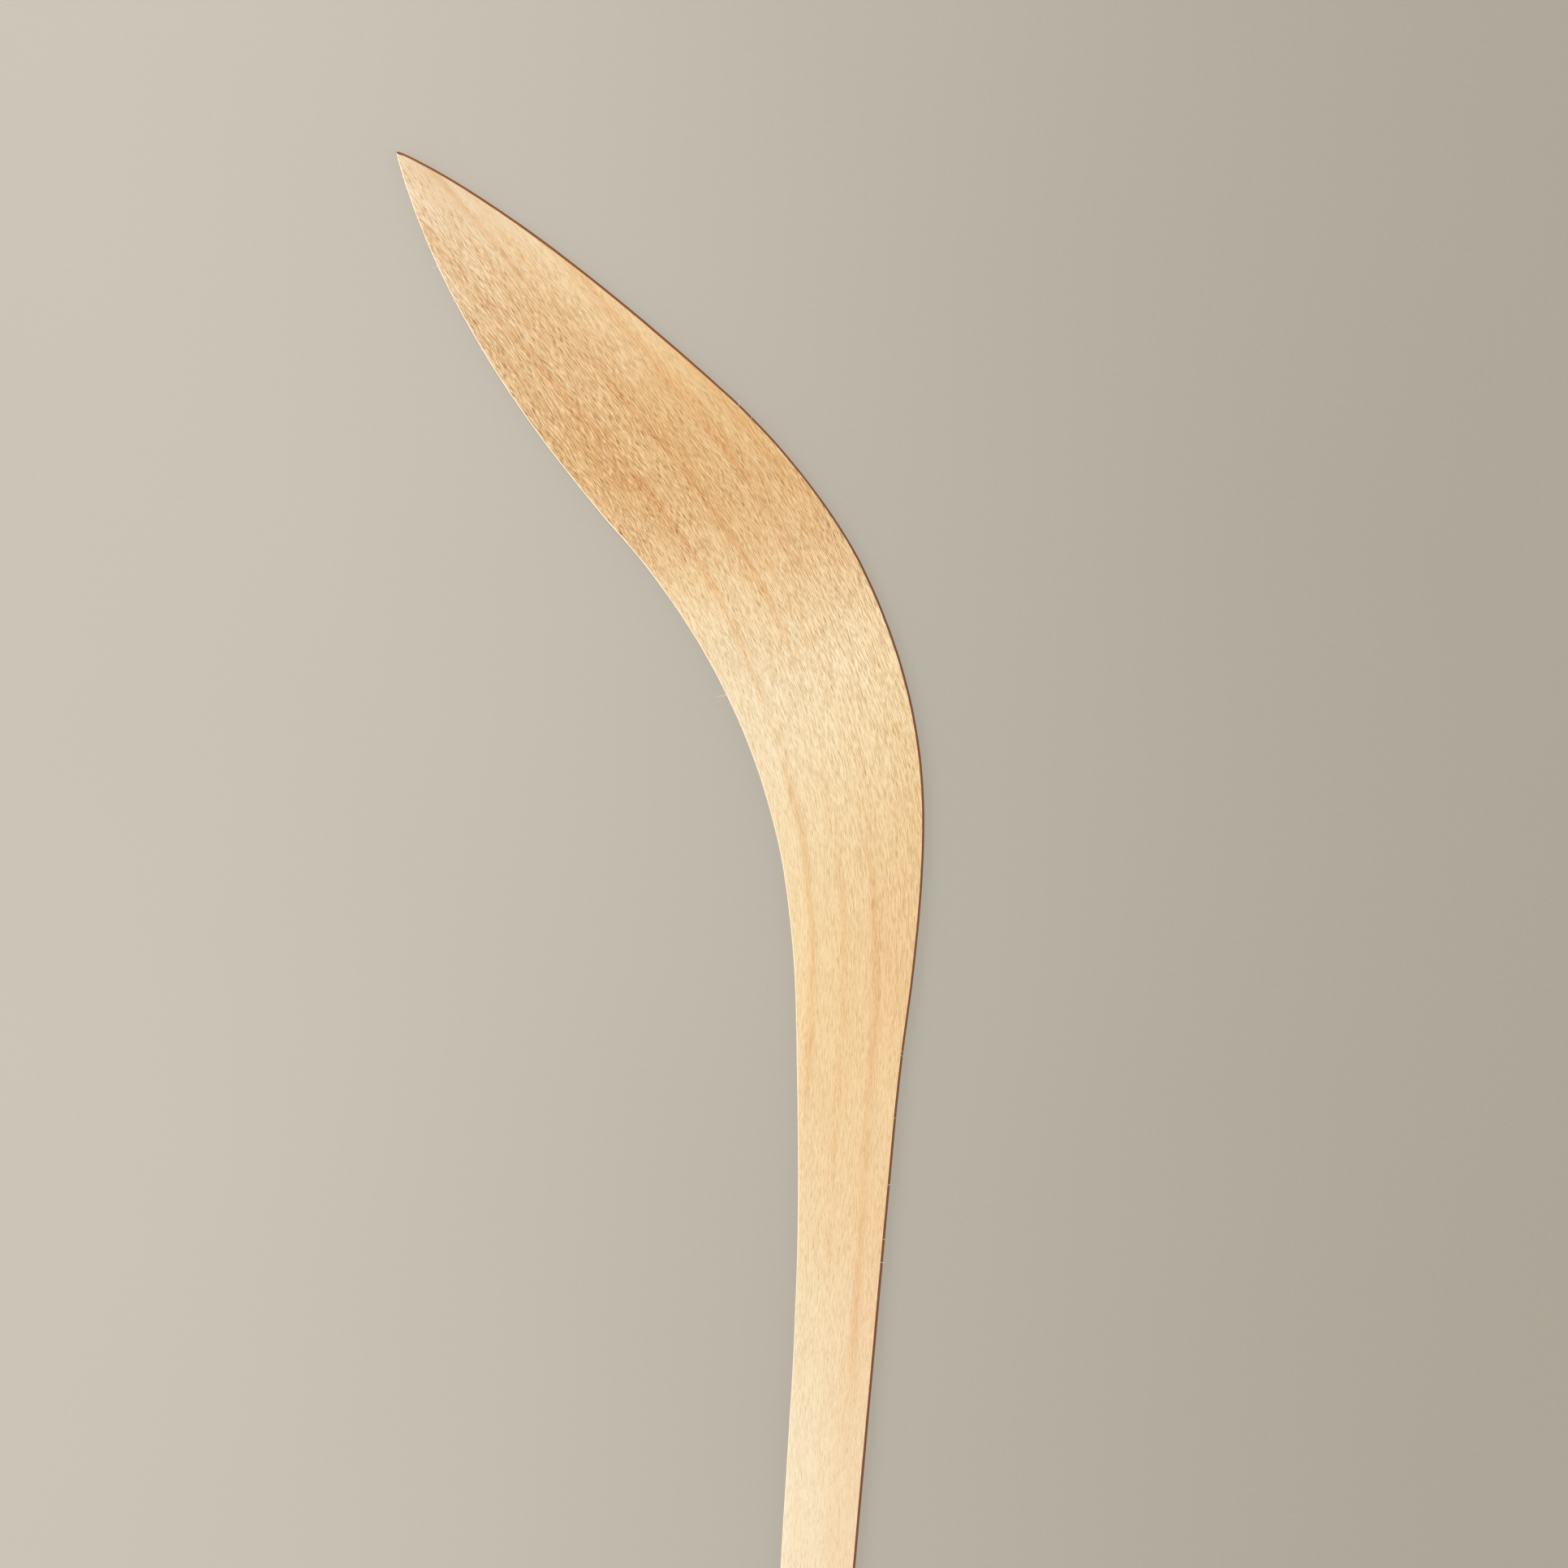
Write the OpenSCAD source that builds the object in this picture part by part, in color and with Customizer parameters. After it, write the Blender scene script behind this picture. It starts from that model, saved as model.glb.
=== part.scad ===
// Hooked boomerang, sawn from a blank of narrow beech strips that are bent side by side and glued.
// It lies flat: the strips bend in the XY plane and its thickness is along Z, with the underside at z = 0.
// The handle runs along Y, and the blade hooks over towards -X at the far end.
// The outline is drawn on the straight blank as [along, across] and bends with it: "along" is 0 where
// the bend starts, positive towards the blade, and "across" is 0 on the face against the former.

/* [Boomerang] */
// Thickness, top face to underside
thickness = 5; // [3:0.5:8]
// Blade length along the blank, from the start of the bend to the tip
blade_l = 249; // [235:1:280]
// Handle length, from the start of the bend to the round end
handle_l = 205; // [150:5:260]
// Handle width at its round end
handle_w = 16.5; // [14:0.5:18]
// Radius of the blade's blunted tip
tip_r = 0.6; // [0.4:0.1:1.2]
// Angle between the blade's two edges at the tip
tip_angle = 50; // [45:1:55]

/* [Blank] */
// Angle that the strips turn through at the elbow
bend_angle = 44; // [38:1:50]
// Radius of the former, which the first strip is bent round
former_r = 170; // [150:5:200]
// Width of one strip
strip_w = 2.7; // [2.5:0.1:3]

/* [Hidden] */
// Number of strips, and the names of their nodes from the inside of the bend outwards
STRIPS = 18;
// Steps along one curve and round one end of the outline, and round the bend of one strip
CURVE_STEPS = 32;
ARC_STEPS = 24;
BEND_STEPS = 32;
// Colour of the palest strips, and how much darker the next tone is
BEECH = [0.94, 0.83, 0.63];
TONE_STEP = [0.03, 0.03, 0.03];

// Radius and length of the bend along the blank's middle line, which "along" is measured on
middle_r = former_r + STRIPS * strip_w / 2;
bend_l = middle_r * bend_angle * PI / 180;

// Places across the blank, given in strips so that the outline follows their width
belly = 0.4 * strip_w;
waist = 2.95 * strip_w;
grip = 5.4 * strip_w;
tip = 7.6 * strip_w;
neck = 13.3 * strip_w;
back = 17.97 * strip_w;

// Places along the blank
belly_at = 147;
waist_at = 31;
grip_at = -96;
neck_at = -30;
back_at = 102.5;

// How far each control point reaches along the edge from its own end of a curve: "before" is on the
// handle's side of that end, and "after" is on the tip's side
grip_after = 60;
waist_before = 36;
waist_after = 30;
belly_before = 9;
belly_after = 33;
inner_tip_before = 36;
outer_tip_before = 45;
back_after = 15.5;
back_before = 64.5;
neck_after = 72;

// Centres of the two round ends, which the edges run into
tip_centre = [blade_l - tip_r, tip];
end_centre = [handle_w / 2 - handle_l, grip + handle_w / 2];

// Slope across the blank, per length along it: the inner edge at the waist, and the handle's straight
// outer edge, which runs on into the curve at the neck
waist_slope = -0.03;
neck_slope = (neck - grip - handle_w) / (neck_at - end_centre[0]);

// Points and control points of the two edges, as [along, across]
grip_point = [grip_at, grip];
waist_point = [waist_at, waist];
belly_point = [belly_at, belly];
back_point = [back_at, back];
neck_point = [neck_at, neck];

// Concave edge, from the round end to the tip
inner_edge = concat(
    curve(
        grip_point, beside(grip_point, grip_after),
        beside(waist_point, -waist_before, waist_slope), waist_point),
    curve(
        waist_point, beside(waist_point, waist_after, waist_slope),
        beside(belly_point, -belly_before), belly_point),
    curve(
        belly_point, beside(belly_point, belly_after),
        tip_control(-1, inner_tip_before), tip_start(-1)));

// Convex edge, from the tip to the round end
outer_edge = concat(
    curve(
        tip_start(1), tip_control(1, outer_tip_before),
        beside(back_point, back_after), back_point),
    curve(
        back_point, beside(back_point, -back_before),
        beside(neck_point, neck_after, neck_slope), neck_point),
    [neck_point]);

// Whole outline as it lies after bending, and the middle of its box, which is the origin
outline_points = [
    for (p = concat(
        arc(end_centre, handle_w / 2, 90, 270),
        inner_edge,
        arc(tip_centre, tip_r, tip_angle / 2 - 90, 90 - tip_angle / 2),
        outer_edge))
    bent(p)
];
low_corner = [bent(tip_centre)[0] - tip_r, -handle_l];
high_corner = [max([for (p = outline_points) p[0]]), bent(tip_centre)[1] + tip_r];
middle = (low_corner + high_corner) / 2;

// Node name of strip i, such as strip_07
function strip_name(i) = str("strip_", i < 10 ? "0" : "", i);

// Where a place on the straight blank lies once the blank is bent
function bent(p) =
    let (
        turn = bend_angle * min(max(p[0] / bend_l, 0), 1),
        straight = p[0] - min(max(p[0], 0), bend_l))
    (former_r + p[1]) * [cos(turn), sin(turn)] + straight * [-sin(turn), cos(turn)];

// A place some way along an edge from point p, where the edge has this slope
function beside(p, along, slope = 0) = p + along * [1, slope];

// Cubic curve from a to b with control points ca and cb, without its last point
function curve(a, ca, cb, b) = [
    for (i = [0:CURVE_STEPS - 1])
        let (u = i / CURVE_STEPS, v = 1 - u)
        a * v * v * v + ca * 3 * v * v * u + cb * 3 * v * u * u + b * u * u * u
];

// Points round part of a circle, anticlockwise from one angle to another
function arc(centre, r, from, to) = [
    for (i = [0:ARC_STEPS])
        let (a = from + (to - from) * i / ARC_STEPS)
        centre + r * [cos(a), sin(a)]
];

// Where an edge meets the blunted tip: side is 1 for the outer edge and -1 for the inner edge
function tip_start(side) = tip_centre + tip_r * [sin(tip_angle / 2), side * cos(tip_angle / 2)];

// Control point that sends an edge off at a tangent to the blunted tip
function tip_control(side, reach) =
    tip_start(side) + reach * [-cos(tip_angle / 2), side * sin(tip_angle / 2)];

// One side of a strip, at one place across the blank: straight, round the bend, and straight again
function strip_side(across) = [
    for (along = concat(-handle_l, [for (k = [0:BEND_STEPS]) bend_l * k / BEND_STEPS], blade_l))
    bent([along, across])
];

// Corners of a closed band between two such sides
function between(low, high) =
    concat(low, [for (k = [len(high) - 1:-1:0]) high[k]]);

// Strip i as it is in the finished boomerang, in one of three tones
module strip(i) {
    color(BEECH - (i % 3) * TONE_STEP)
        translate([-middle[0], -middle[1], 0])
            linear_extrude(thickness)
                intersection() {
                    polygon(outline_points);
                    polygon(between(strip_side((i - 1) * strip_w), strip_side(i * strip_w)));
                }
}

for (i = [1:STRIPS]) {
    strip(i);
}
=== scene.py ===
"""Hooked boomerang: eighteen beech strips, bent side by side, glued and sawn to one flat outline.

Every strip is first made on the straight blank, where x is "along" (0 where the bend starts, positive
towards the blade), y is "across" (0 on the face against the former) and z is height, and is then bent
into the place that its CAD strip has.
"""
import math

import bmesh
import bpy
import numpy as np
from mathutils import Matrix, Vector, noise


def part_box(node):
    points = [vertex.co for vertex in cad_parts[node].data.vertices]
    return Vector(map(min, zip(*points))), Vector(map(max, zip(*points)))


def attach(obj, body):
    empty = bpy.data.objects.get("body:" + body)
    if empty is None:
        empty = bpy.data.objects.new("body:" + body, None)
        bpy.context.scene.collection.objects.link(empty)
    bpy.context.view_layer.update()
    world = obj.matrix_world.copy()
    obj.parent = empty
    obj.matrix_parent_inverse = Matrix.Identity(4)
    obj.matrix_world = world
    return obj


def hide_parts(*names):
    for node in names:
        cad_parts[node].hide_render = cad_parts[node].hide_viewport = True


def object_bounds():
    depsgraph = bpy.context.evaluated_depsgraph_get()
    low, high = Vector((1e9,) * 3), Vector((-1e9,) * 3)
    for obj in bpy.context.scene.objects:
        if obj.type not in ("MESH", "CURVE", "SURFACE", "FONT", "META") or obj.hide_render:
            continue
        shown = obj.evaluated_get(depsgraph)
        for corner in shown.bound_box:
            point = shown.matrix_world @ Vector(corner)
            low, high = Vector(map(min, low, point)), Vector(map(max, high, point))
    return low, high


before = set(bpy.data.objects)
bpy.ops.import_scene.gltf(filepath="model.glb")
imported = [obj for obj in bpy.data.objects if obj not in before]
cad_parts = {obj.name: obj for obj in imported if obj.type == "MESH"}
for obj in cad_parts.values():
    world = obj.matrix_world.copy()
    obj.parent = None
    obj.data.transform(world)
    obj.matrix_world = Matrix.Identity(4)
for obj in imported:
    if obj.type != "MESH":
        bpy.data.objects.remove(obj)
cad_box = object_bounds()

MM = 0.001

# The blank, with the driving dimensions of the CAD model
STRIPS = 18
STRIP_W = 2.7 * MM
BEND_ANGLE = math.radians(44)
FORMER_R = 170 * MM
HANDLE_L = 205 * MM
BLADE_L = 249 * MM
THICKNESS = cad_box[1].z
MIDDLE_R = FORMER_R + STRIPS * STRIP_W / 2
BEND_L = MIDDLE_R * BEND_ANGLE

# Centre of the bend. The ninth joint is the only full-length one whose place in the frame is needed.
NINTH_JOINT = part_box("strip_09")[1].x
BEND_CENTRE = Vector((NINTH_JOINT - FORMER_R - 9 * STRIP_W, cad_box[0].y + HANDLE_L, 0))

# Radius of the handle's round end, and how much of the blunted tip has stations of its own
HANDLE_END_R = 8.25 * MM
TIP_NOSE = 0.5 * MM

# Radius of the rounded arrises, as (place along, radius), and the strip of face beside them over which
# the colour changes
INNER_ARRIS = [(20 * MM, 0.30 * MM), (130 * MM, 0.52 * MM)]
OUTER_ARRIS = [
    (-60 * MM, 0.18 * MM), (20 * MM, 0.05 * MM), (125 * MM, 0.05 * MM), (160 * MM, 0.34 * MM),
    (205 * MM, 0.50 * MM)]
ARRIS_BORDER = 0.06 * MM

# How finely the wood is modelled
STATION = 1.0 * MM
END_STEPS = 14
ARRIS_STEPS = 4
WALL_ROWS = 4
SHARP_ANGLE = math.radians(35)

# Hand-sawn waver of the edges, how far into the face it reaches, and the two waves that it is made of
WAVER = 0.10 * MM
WAVER_REACH = 4 * MM
SLOW_WAVE, SLOW_PART = 22 * MM, 0.6
QUICK_WAVE, QUICK_PART = 6 * MM, 0.3
QUICK_LAYER = 9

# The arris has at least this part of its radius, and up to this much more; each wavering line has a seed
ARRIS_LEAST, ARRIS_WAVER = 0.7, 0.3
ARRIS_SEED, INNER_SEED, OUTER_SEED = 3, 11, 47

# A point this close to a joint, in strips, lies on it
ON_JOINT = 0.015


def strip_name(number):
    """Name of a strip's CAD node, such as strip_07."""
    return f"strip_{number:02d}"


# ---------------------------------------------------------------- the blank and its bend

def bent(points):
    """Where points of the straight blank lie once it is bent."""
    turn = np.clip(points[:, 0] / BEND_L, 0, 1) * BEND_ANGLE
    straight = points[:, 0] - np.clip(points[:, 0], 0, BEND_L)
    radius = FORMER_R + points[:, 1]
    x = BEND_CENTRE.x + radius * np.cos(turn) - straight * np.sin(turn)
    y = BEND_CENTRE.y + radius * np.sin(turn) + straight * np.cos(turn)
    return np.column_stack([x, y, points[:, 2]])


def unbent(points):
    """Where points of the finished boomerang lie on the straight blank, as (along, across)."""
    x = points[:, 0] - BEND_CENTRE.x
    y = points[:, 1] - BEND_CENTRE.y
    past = y * math.cos(BEND_ANGLE) - x * math.sin(BEND_ANGLE)
    out = x * math.cos(BEND_ANGLE) + y * math.sin(BEND_ANGLE)
    along = np.where(y < 0, y, np.where(past > 0, BEND_L + past, MIDDLE_R * np.arctan2(y, x)))
    across = np.where(y < 0, x, np.where(past > 0, out, np.hypot(x, y))) - FORMER_R
    return np.column_stack([along, across])


def cad_outline():
    """The outline on the straight blank, from the CAD strips: the points that are on no joint."""
    found = []
    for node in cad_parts.values():
        points = np.array([v.co for v in node.data.vertices])
        flat = unbent(points[points[:, 2] > THICKNESS / 2])
        in_strips = flat[:, 1] / STRIP_W
        found.append(flat[abs(in_strips - in_strips.round()) > ON_JOINT])
    return np.vstack(found)


def split_outline(outline):
    """The inner and the outer edge, each in order along the blank, both from end to end."""
    outline = outline[outline[:, 0].argsort()]
    first, last = outline[0], outline[-1]
    between = np.interp(outline[:, 0], [first[0], last[0]], [first[1], last[1]])
    ends = (outline[:, 0] == first[0]) | (outline[:, 0] == last[0])
    return outline[(outline[:, 1] < between) | ends], outline[(outline[:, 1] > between) | ends]


INNER_EDGE, OUTER_EDGE = split_outline(cad_outline())


def edges_at(along):
    """Where the inner and the outer edge lie across the blank."""
    return np.interp(along, *INNER_EDGE.T), np.interp(along, *OUTER_EDGE.T)


def stations():
    """Places along the blank, evenly spaced, and close together round the two ends."""
    low, high = INNER_EDGE[0, 0], INNER_EDGE[-1, 0]
    turn = np.linspace(0, math.pi / 2, END_STEPS + 1)
    handle_end = low + HANDLE_END_R * (1 - np.cos(turn))
    tip_end = high - TIP_NOSE * (1 - np.cos(turn[:END_STEPS // 2]))
    even = np.arange(low + HANDLE_END_R + STATION, high - TIP_NOSE - STATION / 2, STATION)
    return np.concatenate([handle_end, even, tip_end[::-1]])


# ---------------------------------------------------------------- the sawn board, before it is cut

def waver(along, seed):
    """A slow, uneven line between 0 and 1."""
    slow = [noise.noise(Vector((a / SLOW_WAVE, seed, 0))) for a in along]
    quick = [noise.noise(Vector((a / QUICK_WAVE, seed, QUICK_LAYER))) for a in along]
    return np.clip(0.5 + SLOW_PART * np.array(slow) + QUICK_PART * np.array(quick), 0, 1)


def profile(radius):
    """The edge from the top face to the underside, as (inset, height) pairs."""
    quarter = [
        (radius * (1 - math.sin(a)), radius * (1 - math.cos(a)))
        for a in np.linspace(0, math.pi / 2, ARRIS_STEPS + 1)
    ]
    bottom = [(radius + ARRIS_BORDER, 0)] + quarter
    top = [(inset, THICKNESS - height) for inset, height in bottom]
    wall = [
        (0, THICKNESS - depth) for depth in np.linspace(radius, THICKNESS - radius, WALL_ROWS + 2)[1:-1]]
    return top + wall + bottom[::-1]


def board():
    """The whole outline as one closed solid on the straight blank, with eased arrises."""
    along = stations()
    inner, outer = edges_at(along)
    last = len(along) - 1
    loop = np.vstack([
        np.column_stack([along, inner]),
        np.column_stack([along[1:-1], outer[1:-1]])[::-1],
    ])
    tangent = np.roll(loop, -1, 0) - np.roll(loop, 1, 0)
    outward = np.column_stack([tangent[:, 1], -tangent[:, 0]])
    outward /= np.linalg.norm(outward, axis=1)[:, None]
    inner_arris, outer_arris = (
        np.interp(loop[:, 0], *zip(*arris)) for arris in (INNER_ARRIS, OUTER_ARRIS))
    radius = np.where(np.arange(len(loop)) > last, outer_arris, inner_arris)
    radius *= ARRIS_LEAST + ARRIS_WAVER * waver(loop[:, 0] + loop[:, 1], ARRIS_SEED)

    bm = bmesh.new()
    edge_layer = bm.verts.layers.float.new("edge")
    columns = []
    for place, out, r in zip(loop, outward, radius):
        column = []
        for inset, z in profile(r):
            x, y = place - out * inset
            vertex = bm.verts.new((x, y, z))
            vertex[edge_layer] = 1 - inset / (r + ARRIS_BORDER)
            column.append(vertex)
        columns.append(column)
    for a, b in zip(columns, columns[1:] + columns[:1]):
        for row in range(len(a) - 1):
            bm.faces.new((a[row], a[row + 1], b[row + 1], b[row]))

    def pair(i):
        """The inner and the outer column at one station, which are the same column at the two ends."""
        return columns[i], columns[i if i in (0, last) else 2 * last - i]

    for row in (0, -1):
        for i in range(last):
            corners = [pair(i)[0][row], pair(i + 1)[0][row], pair(i + 1)[1][row], pair(i)[1][row]]
            bm.faces.new(list(dict.fromkeys(corners)))
    bmesh.ops.recalc_face_normals(bm, faces=bm.faces)
    return bm


def close_cut(bm, cut):
    """Close the flat face that a cut leaves: a quad for each station, and the ends in triangles."""
    tiny = 0.001 * MM
    found = sorted((g for g in cut if isinstance(g, bmesh.types.BMVert)), key=lambda v: v.co.x)
    top = [v for v in found if v.co.z > THICKNESS - tiny]
    bottom = [v for v in found if v.co.z < tiny]
    wall = sorted((v for v in found if v not in top and v not in bottom), key=lambda v: v.co.z)
    middle = (top[0].co.x + top[-1].co.x) / 2
    for i in range(len(top) - 1):
        bm.faces.new((top[i], top[i + 1], bottom[i + 1], bottom[i]))
    for end, is_here in ((0, lambda v: v.co.x < middle), (-1, lambda v: v.co.x > middle)):
        rim = [bottom[end]] + [v for v in wall if is_here(v)] + [top[end]]
        bmesh.ops.triangulate(bm, faces=[bm.faces.new(rim)])


def cut_at(bm, across, keep_outer):
    """Saw the board along the grain and keep one side of it."""
    cut = bmesh.ops.bisect_plane(
        bm, geom=bm.verts[:] + bm.edges[:] + bm.faces[:], dist=1e-9,
        plane_co=(0, across, 0), plane_no=(0, 1, 0),
        clear_inner=keep_outer, clear_outer=not keep_outer)
    close_cut(bm, cut["geom_cut"])


# ---------------------------------------------------------------- the strips

# The least width of the piece that a share across it is taken of
NARROWEST = 0.1 * MM


def wavered(points):
    """Both edges of the board wander in by up to WAVER, and drag the nearby face with them.

    The waver dies away towards the two ends, where the edges run together.
    """
    along, across = points[:, 0], points[:, 1]
    inner, outer = edges_at(along)
    room = np.clip((outer - inner) / (4 * WAVER_REACH), 0, 1)
    near_inner = np.clip(1 - (across - inner) / WAVER_REACH, 0, 1)
    near_outer = np.clip(1 - (outer - across) / WAVER_REACH, 0, 1)
    shift = WAVER * room * (
        waver(along, INNER_SEED) * near_inner - waver(along, OUTER_SEED) * near_outer)
    return np.column_stack([along, across + shift, points[:, 2]])


def add_attribute(mesh, name, kind, values):
    """A named value at every vertex, which the material reads."""
    attribute = mesh.attributes.new(name, kind, "POINT")
    field = "vector" if kind == "FLOAT_VECTOR" else "value"
    attribute.data.foreach_set(field, np.asarray(values, np.float32).ravel())


def wood_piece(name, bm, material):
    """Turn straight-blank geometry into a finished, bent piece that remembers its grain.

    The material reads "blank", the place on the straight blank in mm, "share", from 0 at the inner edge
    to 1 at the outer, and "edge", from 0 on the face to 1 on the sawn wall.
    """
    for face in bm.faces:
        face.smooth = True
    for edge in bm.edges:
        edge.smooth = edge.calc_face_angle(0) < SHARP_ANGLE
    mesh = bpy.data.meshes.new(name)
    bm.to_mesh(mesh)
    bm.free()
    straight = np.empty(len(mesh.vertices) * 3, np.float32)
    mesh.vertices.foreach_get("co", straight)
    straight = straight.reshape(-1, 3).astype(float)
    inner, outer = edges_at(straight[:, 0])
    share = np.clip((straight[:, 1] - inner) / np.maximum(outer - inner, NARROWEST), 0, 1)
    add_attribute(mesh, "blank", "FLOAT_VECTOR", straight / MM)
    add_attribute(mesh, "share", "FLOAT", share)
    mesh.vertices.foreach_set("co", bent(wavered(straight)).astype(np.float32).ravel())
    mesh.update()
    mesh.materials.append(material)
    piece = bpy.data.objects.new(name, mesh)
    bpy.context.scene.collection.objects.link(piece)
    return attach(piece, "root")


def make_strips(material):
    """Saw the board into its strips, from the inside of the bend outwards."""
    rest = board()
    for number in range(1, STRIPS + 1):
        strip = rest.copy()
        if number < STRIPS:
            cut_at(strip, number * STRIP_W, keep_outer=False)
            cut_at(rest, number * STRIP_W, keep_outer=True)
        bmesh.ops.recalc_face_normals(strip, faces=strip.faces)
        piece = wood_piece("beech_" + strip_name(number), strip, material)
        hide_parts(strip_name(number))
    rest.free()


# ---------------------------------------------------------------- torn fibres along the edges

FIBRE_R = 0.065 * MM
FIBRE_TAPER = 0.7
FIBRE_SIDES = 6
FIBRE_STEPS = 10
FIBRE_DROOP = -0.15

# How far inside the edge a fibre starts
FIBRE_ROOT = 3 * WAVER

# Torn fibres: place along the blank, edge, length, lean towards the tip and curl, in mm and radians
FIBRES = [
    (243, "inner", 0.5, 0.8, 0.2),
    (241, "inner", 0.6, -0.6, 0.3),
    (237, "inner", 0.5, 0.3, -0.5),
    (233, "inner", 0.7, 0.9, -0.3),
    (228, "inner", 0.5, -0.4, 0.4),
    (221.5, "inner", 2.2, -1.1, 2.6),
    (214, "inner", 0.5, 0.5, 0.2),
    (212, "inner", 1.0, -0.5, 0.5),
    (198, "inner", 0.7, 0.4, -0.4),
    (114, "inner", 0.6, 0.9, -0.3),
    (86.5, "inner", 3.0, 0.1, 0.15),
    (83.5, "inner", 0.6, 0.7, 0.3),
    (-12, "inner", 0.8, 0.7, -1.2),
    (146, "outer", 1.9, 0.9, -0.3),
    (142, "outer", 1.0, 0.8, 0.2),
    (-9, "outer", 1.0, -0.9, -0.4),
    (-10, "outer", 1.2, -1.1, 0.4),
    (-26, "outer", 0.8, -0.4, 0.5),
    (-43, "outer", 1.3, 0.7, -0.6),
    (-56, "outer", 1.1, -0.6, 1.3),
    (-62, "outer", 1.3, 0.5, -1.4),
]


def fibre(bm, along, edge, length, lean, curl):
    """One fibre as a thin closed tube that starts inside the wood and tapers to a point."""
    inner, outer = edges_at(along)
    side = -1 if edge == "inner" else 1
    root = (inner if side < 0 else outer) - side * FIBRE_ROOT
    place = Vector((along, root, THICKNESS - FIBRE_R))
    rings = []
    for step in range(FIBRE_STEPS):
        share = step / FIBRE_STEPS
        heading = lean + curl * share
        forward = Vector((math.sin(heading), side * math.cos(heading), FIBRE_DROOP)).normalized()
        sideways = forward.cross(Vector((0, 0, 1))).normalized()
        upward = sideways.cross(forward)
        r = FIBRE_R * (1 - FIBRE_TAPER * share)
        turns = [2 * math.pi * k / FIBRE_SIDES for k in range(FIBRE_SIDES)]
        rings.append([
            bm.verts.new(place + r * (math.cos(a) * sideways + math.sin(a) * upward)) for a in turns])
        place = place + forward * length / FIBRE_STEPS
    point = bm.verts.new(place)
    bm.faces.new(rings[0])
    for a, b in zip(rings, rings[1:]):
        for k in range(FIBRE_SIDES):
            bm.faces.new((a[k - 1], a[k], b[k], b[k - 1]))
    for k in range(FIBRE_SIDES):
        bm.faces.new((rings[-1][k - 1], rings[-1][k], point))


def make_fibres(material):
    """All the torn fibres, as one piece."""
    bm = bmesh.new()
    bm.verts.layers.float.new("edge")
    for along, edge, length, lean, curl in FIBRES:
        fibre(bm, along * MM, edge, length * MM, lean, curl)
    bmesh.ops.recalc_face_normals(bm, faces=bm.faces)
    wood_piece("edge_fibres", bm, material)


# ---------------------------------------------------------------- materials

def colour(red, green, blue):
    """A display colour, 0 to 255, as the linear colour that a shader takes."""
    return tuple((c / 255 / 12.92 if c < 11 else ((c / 255 + 0.055) / 1.055) ** 2.4)
                 for c in (red, green, blue)) + (1,)


# Where a dash fades out and where it is full, as distances from the middle of its cell
DASH_RIM = (0.36, 0.2)


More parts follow.
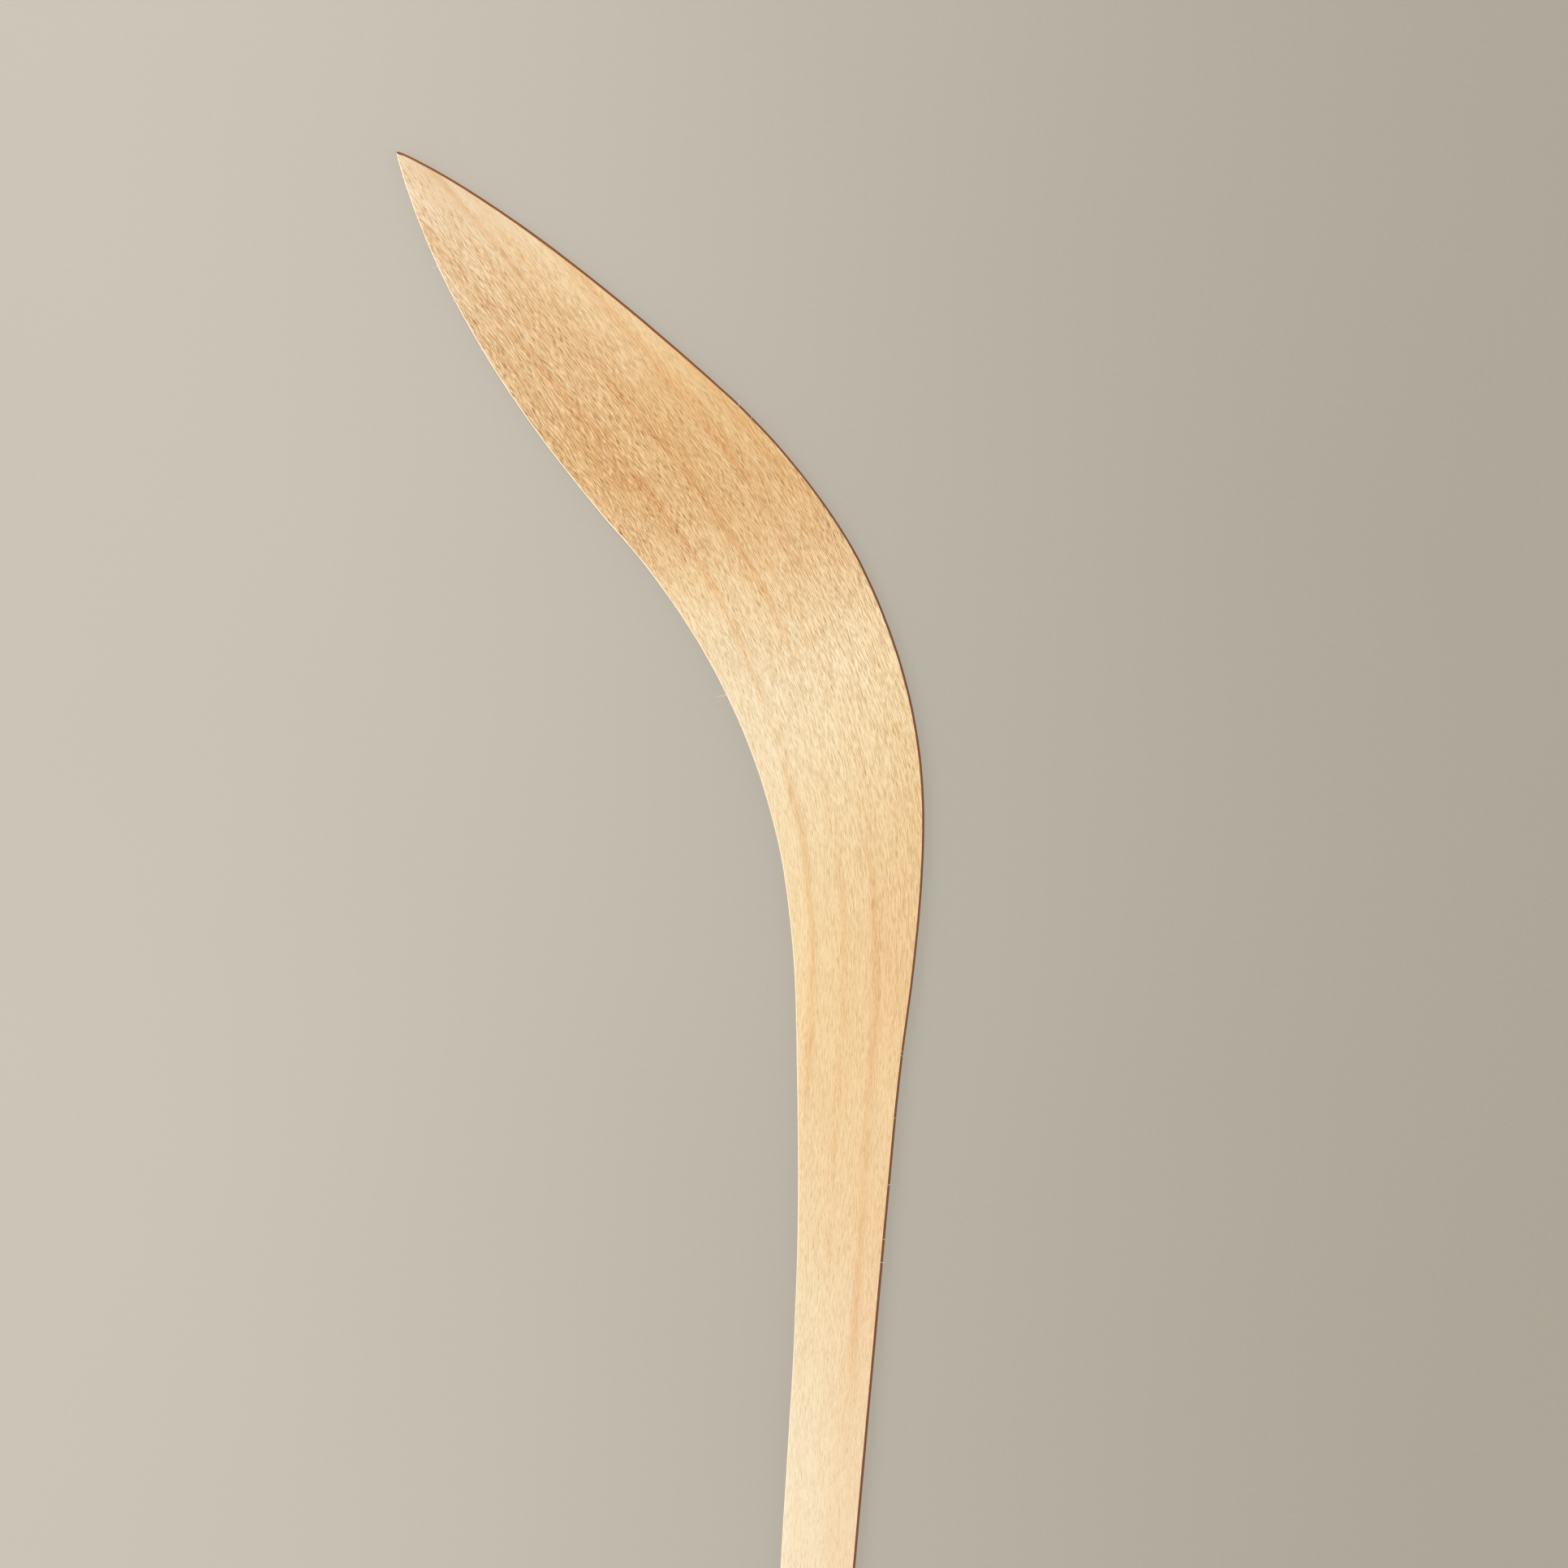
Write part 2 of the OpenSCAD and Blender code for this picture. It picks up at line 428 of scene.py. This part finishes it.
class Shader:
    """One material's node tree, with short calls that add nodes to it."""

    def __init__(self, name):
        self.material = bpy.data.materials.new(name)
        self.material.use_nodes = True
        self.tree = self.material.node_tree
        self.tree.nodes.clear()

    def add(self, kind, inputs, **settings):
        """A node, with a value or a link for each of the inputs named."""
        node = self.tree.nodes.new("ShaderNode" + kind)
        for name, value in settings.items():
            setattr(node, name, value)
        for name, value in inputs.items():
            if isinstance(value, bpy.types.NodeSocket):
                self.tree.links.new(value, node.inputs[name])
            else:
                node.inputs[name].default_value = value
        return node

    def math(self, operation, *values):
        """One sum, with a value or a link for each of its terms."""
        return self.add("Math", dict(enumerate(values)), operation=operation).outputs[0]

    def ease(self, value, low, high, to_low=0.0, to_high=1.0):
        """Smooth step from to_low at low, to to_high at high."""
        inputs = {"Value": value, "From Min": low, "From Max": high, "To Min": to_low, "To Max": to_high}
        return self.add("MapRange", inputs, interpolation_type="SMOOTHSTEP").outputs[0]

    def multiply(self, vector, by):
        """A vector with each of its parts multiplied."""
        return self.add("VectorMath", {0: vector, 1: by}, operation="MULTIPLY").outputs[0]

    def shift(self, vector, by):
        """A vector moved by another."""
        return self.add("VectorMath", {0: vector, 1: by}, operation="ADD").outputs[0]

    def noise(self, vector, detail, rough=0.5):
        """Cloudy noise between 0 and 1, with lumps about 1 wide."""
        inputs = {"Vector": vector, "Scale": 1.0, "Detail": detail, "Roughness": rough}
        return self.add("TexNoise", inputs).outputs["Fac"]

    def by_size(self, vector, size):
        """A place on the blank, counted in steps of one size, which is (along, across) in mm."""
        along, across = size
        return self.multiply(vector, (1 / along, 1 / across, 1 / across))

    def dashes(self, grain, size, skew, low, high):
        """Short dashes along the grain, each with its own strength: none below low, full above high."""
        along, across, height = self.add("SeparateXYZ", {0: grain}).outputs
        skewed = self.math("MULTIPLY_ADD", across, skew, along)
        place = self.add("CombineXYZ", {0: skewed, 1: across, 2: height}).outputs[0]
        cells = self.add("TexVoronoi", {"Vector": self.by_size(place, size), "Scale": 1.0})
        own = self.add("SeparateColor", {"Color": cells.outputs["Color"]}).outputs[0]
        shape = self.ease(cells.outputs["Distance"], *DASH_RIM)
        return self.math("MULTIPLY", shape, self.ease(own, low, high))

    def mix(self, amount, a, b, blend="MIX"):
        """Colour a turned into b, or tinted by it with MULTIPLY, by an amount from 0 to 1."""
        inputs = {"Factor": amount, 6: a, 7: b}
        return self.add("Mix", inputs, data_type="RGBA", blend_type=blend).outputs[2]

    def ramp(self, value, stops):
        """Colours at places from 0 to 1, eased into each other."""
        node = self.add("ValToRGB", {"Fac": value})
        band = node.color_ramp
        band.interpolation = "CARDINAL"
        while len(band.elements) < len(stops):
            band.elements.new(1)
        for element, (place, shade) in zip(band.elements, stops):
            element.position = place
            element.color = shade
        return node.outputs["Color"]

    def finish(self, **inputs):
        """The finished material, from inputs of the shader with _ for each space."""
        names = {name.replace("_", " "): value for name, value in inputs.items()}
        surface = self.add("BsdfPrincipled", names).outputs[0]
        self.add("OutputMaterial", {"Surface": surface})
        return self.material


# Colour of the planed face, partly the wood's own tone and partly painted light: a painted sheen over
# the elbow, from about 80 to 98 mm, painted shade as the darker tan of the blade, and the inner edge, on
# the key light's side, painted lighter than the outer: (place along in mm, at the inner edge, at the
# outer edge)
FACE_TONES_AND_SHEEN = [
    (-205, colour(246, 231, 201), colour(242, 216, 179)),
    (-110, colour(245, 229, 195), colour(239, 211, 171)),
    (-60, colour(241, 219, 178), colour(237, 204, 158)),
    (-20, colour(238, 210, 162), colour(236, 204, 154)),
    (10, colour(239, 213, 165), colour(233, 198, 146)),
    (50, colour(241, 220, 178), colour(236, 207, 158)),
    (80, colour(243, 225, 190), colour(245, 225, 185)),
    (98, colour(240, 220, 182), colour(240, 215, 173)),
    (111, colour(242, 218, 175), colour(231, 197, 148)),
    (130, colour(232, 200, 150), colour(226, 188, 134)),
    (150, colour(229, 191, 138), colour(227, 190, 135)),
    (170, colour(230, 195, 144), colour(230, 196, 145)),
    (207, colour(235, 208, 170), colour(232, 206, 165)),
    (249, colour(241, 224, 196), colour(222, 198, 165)),
]

# Where something grows or fades along the piece is given as (from, to, amount before, amount after),
# with both places in mm

# Long soft streaks and patches of the figure: their size along and across in mm, and how strongly each
# shows as its noise goes from one value to another, as (from, to, amount before, amount after)
STREAK_SIZE = (90, 3.4)
STREAK_SHOWS = (0.4, 0.68, 0.1, 0.6)
PATCH_SIZE = (26, 7.0)
PATCH_SHOWS = (0.45, 0.75, 0, 0.2)
FIGURE_GROWS = (60.0, 130.0, 0.35, 1.0)
FIGURE_TINT = colour(249, 235, 214)

# How far one strip's tone may differ from the next one's
OWN_TONE = 0.25
OWN_TINT = colour(249, 245, 236)

# Joints that show as a soft darker streak: the strip just inside the joint, how strongly it shows, and
# where it starts and stops, in mm. Its ends fade over JOINT_FADE to either side, and it is full up to
# the first distance of JOINT_SOFTNESS from its middle and gone at the second.
JOINT_STREAKS = [
    (5, 0.45, -25, 110), (5, 0.75, 110, 260), (8, 0.25, -70, 45), (9, 0.5, 95, 260), (11, 0.4, -90, 45),
    (13, 0.45, 100, 260)]
JOINT_FADE = 15.0
JOINT_SOFTNESS = (0.1, 1.8)
JOINT_TINT = colour(239, 209, 173)

# The streaks wander within a band this wide about their joints, in mm, and come and go
WANDER = 1.8
WANDER_SIZE = (50, 40)
COMING = (1 / 30, 1 / 4, 1 / 30)
COMING_SHOWS = (0.34, 0.56, 0.45, 1.0)

# The strips inside the strongest of those joints are paler on the handle and into the elbow
PALE_STRIPS = 5
PALE_BLUR = 0.3
PALE_ENDS = (0.0, 60.0, 0.25, 0)
PALE_TONE = colour(252, 230, 188)

# Pores and fibres run straighter than the strips do: from here on, in mm, they drift outwards
DRIFT_START = 105.0
DRIFT_BLEND = 45.0
DRIFT_SLOPE = -0.082

# Grain marks fade towards the tip and grow from the handle to the blade
TIP_FADE = (185.0, 240.0, 1.0, 0.45)
BLADE_GROWS = (115.0, 155.0, 1.0, 1.35)
PALE_MARKS_GROW = [(-20.0, 110.0, 0.5, 1.0), (-150.0, -50.0, 0.7, 1.0)]
DARK_MARKS_GROW = [(30.0, 130.0, 0.4, 1.0), (-120.0, -20.0, 0.75, 1.0)]

# They are stronger towards one edge: the outer one at the elbow, and the inner one on the blade
ELBOW_LEAN = (-20.0, 30.0, 0.0, 0.6)
BLADE_LEAN = (105.0, 165.0, 0.0, -2.0)

# Ray flecks, as Shader.dashes takes them: size of a cell along and across in mm, slant, and limits of a
# dash's own strength. The bold ones and the pale shines, which are painted highlights on raised fibres,
# are read elsewhere in the pattern, so that no two kinds coincide.
FLECK = ((2.6, 0.24), 1.7, -0.2, 1.2)
BOLD_FLECK = ((3.0, 0.28), -1.5, 0.2, 1.3)
SHINE = ((2.6, 0.24), -1.3, -0.2, 1.3)
BOLD_PLACE = (7, 3, 11)
SHINE_PLACE = (31, 17, 5)
FLECK_TONE = colour(140, 86, 26)

# The pale lip of a fleck, a painted highlight on the lit side of its groove, lies this far beside it, in
# mm, and is weaker than a shine; PALE_PART is how strongly both painted highlights show
LIP_HIGHLIGHT_AWAY = 0.15
LIP_HIGHLIGHT_PART = 0.7
PALE_PART = 0.6
SHINE_TONE = colour(255, 228, 180)

# Fine fibres between the flecks: size along and across in mm, the values of their noise at which they
# begin to look dull and are fully dull, and roughness as (from, to, roughness before, roughness after)
FINE_SIZE = (2.6, 0.13)
FINE_DULL = (0.58, 0.36)
FINE_TINT = colour(222, 203, 174)
FINE_ROUGHNESS = (0.3, 0.7, 0.56, 0.46)

# How strongly the bare wood reflects
SPECULAR = 0.35

# Limits from none to full: distance from the middle of the thickness in mm, for a point on the wall;
# share, for the outer side, which is the one in shade; and edge, for the brown of the wall, partly
# painted shade, and for the painted highlight on the inner arris
ON_WALL = (2.45, 2.2)
SHADED_SIDE = (0.45, 0.55)
WALL_EDGE = (0.1, 0.35)
ARRIS_HIGHLIGHT_EDGE = (0.02, 0.25)

# Sawn walls, brown and rough, their brown partly the sawn wood's own and partly painted shade, and the
# painted highlight on the inner arris
SAW_GRAIN = (1 / 1.6, 1 / 1.6, 1 / 0.3)
SAWN_TONES_AND_SHADE = (colour(133, 73, 32), colour(166, 101, 54))
SAWN_ROUGHER = 0.2
ARRIS_HIGHLIGHT_TONE = colour(252, 234, 204)

# Depth of the relief, and how much of it each mark makes beside the fine fibres' 1
RELIEF_DEPTH = 0.02 * MM
RELIEF_STRENGTH = 0.6
SHINE_RISE = 0.6
FLECK_DEPTH = 0.5
SAW_MARKS = 3.0


def face_tone_and_sheen(s, along, share):
    """Tone of the face along the piece and from edge to edge, with a painted sheen at the elbow and
    painted shade on the blade and towards the outer edge.
    """
    length = (BLADE_L + HANDLE_L) / MM
    place = s.math("DIVIDE", s.math("ADD", along, HANDLE_L / MM), length)
    inner_tone, outer_tone = (
        s.ramp(place, [((stop[0] + HANDLE_L / MM) / length, stop[side]) for stop in FACE_TONES_AND_SHEEN])
        for side in (1, 2))
    return s.mix(share, inner_tone, outer_tone)


def figured(s, tone, blank, along):
    """The tone with long soft orange-tan streaks and patches that follow the strips."""
    streaks = s.noise(s.by_size(blank, STREAK_SIZE), 1)
    patches = s.noise(s.by_size(blank, PATCH_SIZE), 1)
    figure = s.math("ADD", s.ease(streaks, *STREAK_SHOWS), s.ease(patches, *PATCH_SHOWS))
    figure = s.math("MULTIPLY", figure, s.ease(along, *FIGURE_GROWS))
    return s.mix(figure, tone, FIGURE_TINT, "MULTIPLY")


def joint_streaks(s, drawn, along):
    """How strongly a joint shows, from the place across the blank at which the joints are drawn."""
    strongest = None
    for number, strength, start, stop in JOINT_STREAKS:
        off = s.math("ABSOLUTE", s.math("SUBTRACT", drawn, number * STRIP_W / MM))
        shown = s.math(
            "MULTIPLY", s.ease(along, start - JOINT_FADE, start + JOINT_FADE),
            s.ease(along, stop - JOINT_FADE, stop + JOINT_FADE, 1, 0))
        line = s.math("MULTIPLY", shown, s.ease(off, *JOINT_SOFTNESS, strength, 0))
        strongest = line if strongest is None else s.math("MAXIMUM", strongest, line)
    return strongest


def in_strips(s, tone, blank, along, across):
    """The tone with each strip's own shade, and with joints that show as streaks that come and go."""
    strip = s.math("FLOOR", s.math("DIVIDE", across, STRIP_W / MM))
    own = s.add("TexWhiteNoise", {"W": strip}, noise_dimensions="1D").outputs["Value"]
    tone = s.mix(s.math("MULTIPLY", own, OWN_TONE), tone, OWN_TINT, "MULTIPLY")
    wander = s.noise(s.by_size(blank, WANDER_SIZE), 1)
    drawn = s.math("MULTIPLY_ADD", s.math("SUBTRACT", wander, 0.5), WANDER, across)
    joints = joint_streaks(s, drawn, along)
    last_pale = PALE_STRIPS * STRIP_W / MM
    inside = s.ease(drawn, last_pale - PALE_BLUR, last_pale + PALE_BLUR, 1, 0)
    inside = s.math("MULTIPLY", inside, s.ease(along, *PALE_ENDS))
    tone = s.mix(inside, tone, PALE_TONE)
    comes = s.ease(s.noise(s.multiply(blank, COMING), 2), *COMING_SHOWS)
    return s.mix(s.math("MULTIPLY", joints, comes), tone, JOINT_TINT, "MULTIPLY")


def mark_strengths(s, along, share):
    """How strongly the pale and the dark grain marks show."""
    lean = s.math("ADD", s.ease(along, *ELBOW_LEAN), s.ease(along, *BLADE_LEAN))
    lean = s.math("MULTIPLY", s.math("SUBTRACT", share, 0.5), lean)
    common = s.math("MULTIPLY", s.ease(along, *TIP_FADE), s.ease(along, *BLADE_GROWS))
    common = s.math("MULTIPLY", common, s.math("ADD", lean, 1.0))
    pale = dark = common
    for grows in PALE_MARKS_GROW:
        pale = s.math("MULTIPLY", s.ease(along, *grows), pale)
    for grows in DARK_MARKS_GROW:
        dark = s.math("MULTIPLY", s.ease(along, *grows), dark)
    return pale, dark


def beech():
    """Bare planed beech, with its figure, its ray flecks and its brown sawn edges."""
    s = Shader("beech_wood")
    blank = s.add("Attribute", {}, attribute_name="blank").outputs["Vector"]
    share = s.add("Attribute", {}, attribute_name="share").outputs["Fac"]
    edge = s.add("Attribute", {}, attribute_name="edge").outputs["Fac"]
    along, across, height = s.add("SeparateXYZ", {0: blank}).outputs
    tone = face_tone_and_sheen(s, along, share)
    tone = figured(s, tone, blank, along)
    tone = in_strips(s, tone, blank, along, across)

    # Ray flecks: thin dark dashes with a pale lip beside them, which is a painted highlight, a few
    # bolder ones, and pale ones, which are painted highlights on raised fibres
    past_elbow = s.math("SMOOTH_MAX", s.math("SUBTRACT", along, DRIFT_START), 0.0, DRIFT_BLEND)
    drift = s.add("CombineXYZ", {1: s.math("MULTIPLY", past_elbow, DRIFT_SLOPE)}).outputs[0]
    grain = s.shift(blank, drift)
    strength, darkness = mark_strengths(s, along, share)
    fleck, lip_highlight = (s.dashes(s.shift(grain, (0, away, 0)), *FLECK) for away in (0, LIP_HIGHLIGHT_AWAY))
    bold = s.dashes(s.shift(grain, BOLD_PLACE), *BOLD_FLECK)
    dark = s.math("MULTIPLY", s.math("MAXIMUM", fleck, bold), darkness)
    shine = s.dashes(s.shift(grain, SHINE_PLACE), *SHINE)
    # Painted highlights: the pale lips and the pale shines
    pale = s.math("MULTIPLY", s.math("MAXIMUM", s.math("MULTIPLY", lip_highlight, LIP_HIGHLIGHT_PART), shine), strength)

    # Fine fibres between them
    fibres = s.noise(s.by_size(grain, FINE_SIZE), 1, 0.6)
    dull = s.math("MULTIPLY", s.ease(fibres, *FINE_DULL), strength)
    tone = s.mix(dull, tone, FINE_TINT, "MULTIPLY")
    tone = s.mix(s.math("MULTIPLY", pale, PALE_PART), tone, SHINE_TONE)
    tone = s.mix(dark, tone, FLECK_TONE)

    # Sawn walls are brown, partly their own darker colour and partly painted shade, and on the outer
    # side, which is in shade, the whole arris is painted brown as shade; the inner arris is a painted
    # highlight
    from_middle = s.math("ABSOLUTE", s.math("SUBTRACT", height, THICKNESS / 2 / MM))
    on_wall = s.ease(from_middle, *ON_WALL)
    shaded_side = s.ease(share, *SHADED_SIDE)
    wall = s.math("MULTIPLY", s.ease(edge, *WALL_EDGE), s.math("MAXIMUM", on_wall, shaded_side))
    arris = s.math("MULTIPLY", s.ease(edge, *ARRIS_HIGHLIGHT_EDGE), s.math("SUBTRACT", 1.0, shaded_side))
    rough_saw = s.noise(s.multiply(blank, SAW_GRAIN), 3, 0.6)
    tone = s.mix(arris, tone, ARRIS_HIGHLIGHT_TONE)
    tone = s.mix(wall, tone, s.mix(rough_saw, *SAWN_TONES_AND_SHADE))

    # Relief: flecks are shallow grooves and the fibres between them stand a little proud
    relief = s.math("ADD", s.math("MULTIPLY", fibres, strength), s.math("MULTIPLY", pale, SHINE_RISE))
    relief = s.math("SUBTRACT", relief, s.math("MULTIPLY", dark, FLECK_DEPTH))
    saw_marks = s.math("MULTIPLY", s.math("MULTIPLY", rough_saw, wall), SAW_MARKS)
    relief = s.math("ADD", relief, saw_marks)
    bump = s.add("Bump", {"Height": relief, "Strength": RELIEF_STRENGTH, "Distance": RELIEF_DEPTH})
    roughness = s.math(
        "ADD", s.ease(fibres, *FINE_ROUGHNESS), s.math("MULTIPLY", wall, SAWN_ROUGHER))
    return s.finish(
        Base_Color=tone, Roughness=roughness, Specular_IOR_Level=SPECULAR,
        Normal=bump.outputs["Normal"])


# Fineness and tones of the torn fibres
TORN_GRAIN = (5, 5, 9)
TORN_TONES = (colour(238, 216, 180), colour(255, 244, 224))


def torn_fibre():
    """Pale raw fibres that stand out of the sawn edges."""
    s = Shader("torn_fibre")
    blank = s.add("Attribute", {}, attribute_name="blank").outputs["Vector"]
    grain = s.noise(s.multiply(blank, TORN_GRAIN), 2)
    bump = s.add("Bump", {"Height": grain, "Strength": 0.3, "Distance": 0.01 * MM})
    return s.finish(
        Base_Color=s.mix(grain, *TORN_TONES), Roughness=s.ease(grain, 0.2, 0.8, 0.7, 0.55),
        Normal=bump.outputs["Normal"])


# Painted light on the floor: its tones at the left and the right of the camera's view, lighter towards
# the key light and darker away from it, and where one turns into the other
FLOOR_TONES_LIT_TO_SHADED = (colour(198, 191, 178), colour(168, 162, 147))
FLOOR_TURN = (-0.16, 0.24)

# Fineness of the mottle and of the paper's own grain, per metre, and how much the mottle shows
MOTTLE = (6, 6, 6)
PAPER_GRAIN = (900, 900, 900)
MOTTLE_PART = 0.5
MOTTLE_TINT = colour(243, 243, 240)

# The floor glows and reflects little, so that the object's shadow on it stays as faint as in the photo
FLOOR_GLOW = 0.84
FLOOR_SHADE = colour(118, 118, 118)


def floor_paper():
    """Pale warm paper with a faint mottle, painted lighter at the left, towards the key light, and
    darker at the right, and glowing so that shadows on it stay faint.
    """
    s = Shader("floor_paper")
    place = s.add("TexCoord", {}).outputs["Object"]
    mottle = s.noise(s.multiply(place, MOTTLE), 3)
    fine = s.noise(s.multiply(place, PAPER_GRAIN), 2, 0.6)
    across = s.add("SeparateXYZ", {0: place}).outputs[0]
    # Painted light: lighter at the left, darker at the right
    tone = s.mix(s.ease(across, *FLOOR_TURN), *FLOOR_TONES_LIT_TO_SHADED)
    tone = s.mix(s.math("MULTIPLY", mottle, MOTTLE_PART), tone, MOTTLE_TINT, "MULTIPLY")
    paper = s.mix(1.0, tone, FLOOR_SHADE, "MULTIPLY")
    bump = s.add("Bump", {"Height": fine, "Strength": 0.15, "Distance": 0.05 * MM})
    return s.finish(
        Base_Color=paper, Roughness=s.ease(fine, 0.2, 0.8, 0.75, 0.9), Normal=bump.outputs["Normal"],
        Emission_Color=tone, Emission_Strength=FLOOR_GLOW)


# ---------------------------------------------------------------- studio

# The floor lies a hair below the underside, so that the two faces don't share a plane
FLOOR_SIZE = 12.0
FLOOR_DROP = 0.05 * MM

# The camera's distance, the width that it takes in there, the place it looks at on the top face, its
# roll, and how far it is tilted from straight down and in which direction
CAMERA_DISTANCE = 3.0
FIELD = 386.7 * MM
VIEW_CENTRE = (35.4 * MM, 54.7 * MM)
ROLL = math.radians(3.55)
TILT = math.radians(6.3)
TILT_TOWARDS = ROLL + math.radians(10)
SENSOR = 36.0
CLIP_END = 50

# Soft boxes: name, place, size, power in watts and colour
LIGHTS = [
    ("key", (-0.9, 0.7, 2.2), 1.6, 40, (1.0, 0.97, 0.94)),
    ("fill", (1.2, -0.5, 2.2), 2.0, 12, (0.95, 0.98, 1.0)),
]
SKY_COLOUR = (0.93, 0.95, 1.0, 1)
SKY_STRENGTH = 0.52


def turned(right, up, back):
    """Rotation of a camera from its own right, up and backward directions."""
    return Matrix((right, up, back)).transposed().to_4x4()


def add_camera():
    """Long lens, almost straight down on the face, from a little to the convex side."""
    target = Vector((*VIEW_CENTRE, THICKNESS))
    back = Vector((
        math.sin(TILT) * math.cos(TILT_TOWARDS), math.sin(TILT) * math.sin(TILT_TOWARDS),
        math.cos(TILT)))
    right = Vector((-math.sin(ROLL), math.cos(ROLL), 0)).cross(back).normalized()
    data = bpy.data.cameras.new("camera")
    data.sensor_width = SENSOR
    data.lens = SENSOR * CAMERA_DISTANCE / FIELD
    data.clip_end = CLIP_END
    camera = bpy.data.objects.new("camera", data)
    camera.matrix_world = Matrix.Translation(target + back * CAMERA_DISTANCE) @ turned(
        right, back.cross(right), back)
    bpy.context.scene.collection.objects.link(camera)
    bpy.context.scene.camera = camera


def add_light(name, place, size, power, shade):
    """Square soft box that faces the origin, which is the middle of the object."""
    data = bpy.data.lights.new(name, "AREA")
    data.size = size
    data.energy = power
    data.color = shade
    lamp = bpy.data.objects.new(name, data)
    lamp.location = place
    lamp.rotation_euler = (-Vector(place)).to_track_quat("-Z", "Y").to_euler()
    bpy.context.scene.collection.objects.link(lamp)


def add_floor():
    """Square sheet of paper, far larger than the view."""
    mesh = bpy.data.meshes.new("floor")
    bm = bmesh.new()
    bmesh.ops.create_grid(bm, x_segments=1, y_segments=1, size=FLOOR_SIZE / 2)
    bm.to_mesh(mesh)
    bm.free()
    mesh.materials.append(floor_paper())
    floor = bpy.data.objects.new("floor", mesh)
    floor.location.z = -FLOOR_DROP
    bpy.context.scene.collection.objects.link(floor)


def add_studio():
    """Camera, floor, lights and an even sky."""
    add_camera()
    add_floor()
    for light in LIGHTS:
        add_light(*light)
    world = bpy.data.worlds.new("studio")
    world.use_nodes = True
    sky = world.node_tree.nodes["Background"]
    sky.inputs["Color"].default_value = SKY_COLOUR
    sky.inputs["Strength"].default_value = SKY_STRENGTH
    bpy.context.scene.world = world
    bpy.context.scene.view_settings.view_transform = "Standard"


add_studio()
make_strips(beech())
make_fibres(torn_fibre())
